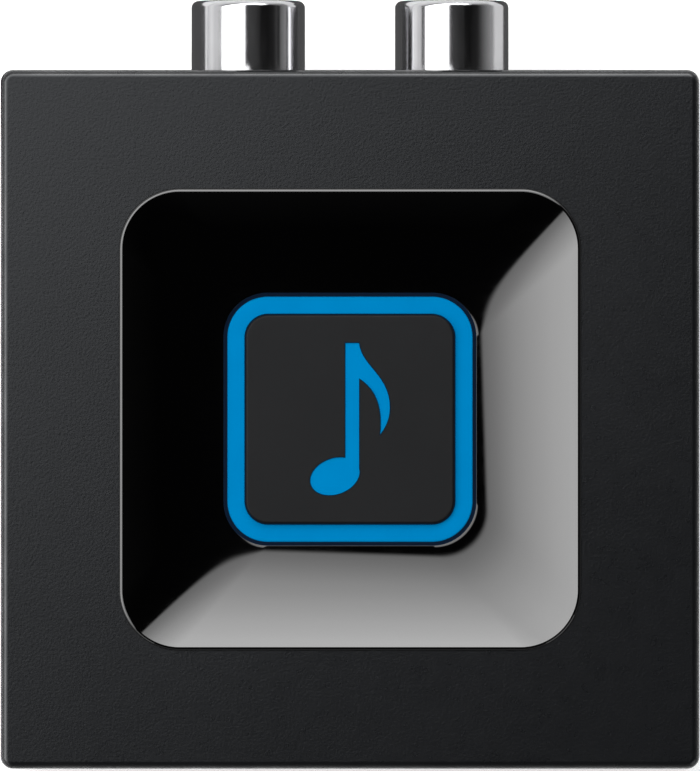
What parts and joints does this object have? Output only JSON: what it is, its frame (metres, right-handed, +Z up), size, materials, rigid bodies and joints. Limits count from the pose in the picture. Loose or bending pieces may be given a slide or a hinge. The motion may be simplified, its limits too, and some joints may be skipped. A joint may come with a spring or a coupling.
{
  "type": "bluetooth audio receiver",
  "caption": "Small square wireless audio receiver with a lit push button in a glossy dish, and phono, 3.5 mm and power sockets at the rear.",
  "frame": {"origin": "middle of the base pad's underside, on the surface that the receiver stands on, under the middle of the square housing", "axes": "+Z up out of the button, +Y towards the rear with the jacks, +X to the right seen from above with the rear away from the viewer"},
  "size_m": [0.0508, 0.0561, 0.0235],
  "materials": {
    "housing": "fine leather grain",
    "cap": "very fine matte",
    "dish": "piano black, polished",
    "lens": "translucent, lit from behind",
    "rubber": "matte, fine anti-slip grain",
    "nickel": "bright nickel plating",
    "steel": "zinc-plated",
    "brass": "bright",
    "insulator_white": "satin",
    "insulator_red": "satin",
    "shield_white": "white reflector plastic",
    "jack_plastic": "moulded",
    "board": "solder mask on glass fibre",
    "chip": "moulded epoxy",
    "aluminium": "satin can",
    "led": "phosphor in a white body"
  },
  "bodies": {
    "root": {"top_shell": "housing", "bottom_cover": "housing", "rear_panel": "housing", "base_pad": "rubber", "cover_screw_1": "steel", "cover_screw_2": "steel", "cover_screw_3": "steel", "cover_screw_4": "steel", "dish_bezel": "dish", "light_shield": "shield_white", "button_board": "board", "button_board_screw_1": "steel", "button_board_screw_2": "steel", "button_board_screw_3": "steel", "button_board_screw_4": "steel", "ring_led_1": "led", "ring_led_2": "led", "ring_led_3": "led", "ring_led_4": "led", "switch_base": "jack_plastic", "switch_cover": "steel", "main_board": "board", "main_board_screw_1": "steel", "main_board_screw_2": "steel", "radio_board": "board", "radio_can": "nickel", "radio_antenna": "brass", "converter_chip": "chip", "driver_chip": "chip", "regulator_chip": "chip", "crystal_can": "nickel", "power_inductor": "chip", "capacitor_1": "aluminium", "capacitor_2": "aluminium", "capacitor_3": "aluminium", "link_header": "jack_plastic", "link_socket": "jack_plastic", "link_pin_1": "brass", "link_pin_2": "brass", "link_pin_3": "brass", "link_pin_4": "brass", "rca_block": "jack_plastic", "rca_barrel_left": "nickel", "rca_barrel_right": "nickel", "rca_insulator_left": "insulator_white", "rca_insulator_right": "insulator_red", "rca_contact_left": "nickel", "rca_contact_right": "nickel", "minijack_body": "jack_plastic", "minijack_bushing": "nickel", "minijack_contact": "brass", "dc_jack_body": "jack_plastic", "dc_jack_pin": "nickel", "dc_jack_contact": "nickel"},
    "button": {"button_lens": "lens", "button_cap": "cap"},
    "plunger": {"switch_plunger": "jack_plastic"}
  },
  "joints": [
    {"name": "button_press", "type": "slide", "parent": "root", "child": "button", "axis": [0, 0, -1], "range_m": [0, 0.00035], "stiffness_N_per_m": 1600},
    {"name": "plunger_press", "type": "slide", "parent": "root", "child": "plunger", "axis": [0, 0, -1], "range_m": [0, 0.00035]}
  ],
  "couplings": [
    {"joint": "plunger_press", "follows": "button_press", "ratio": 1}
  ]
}
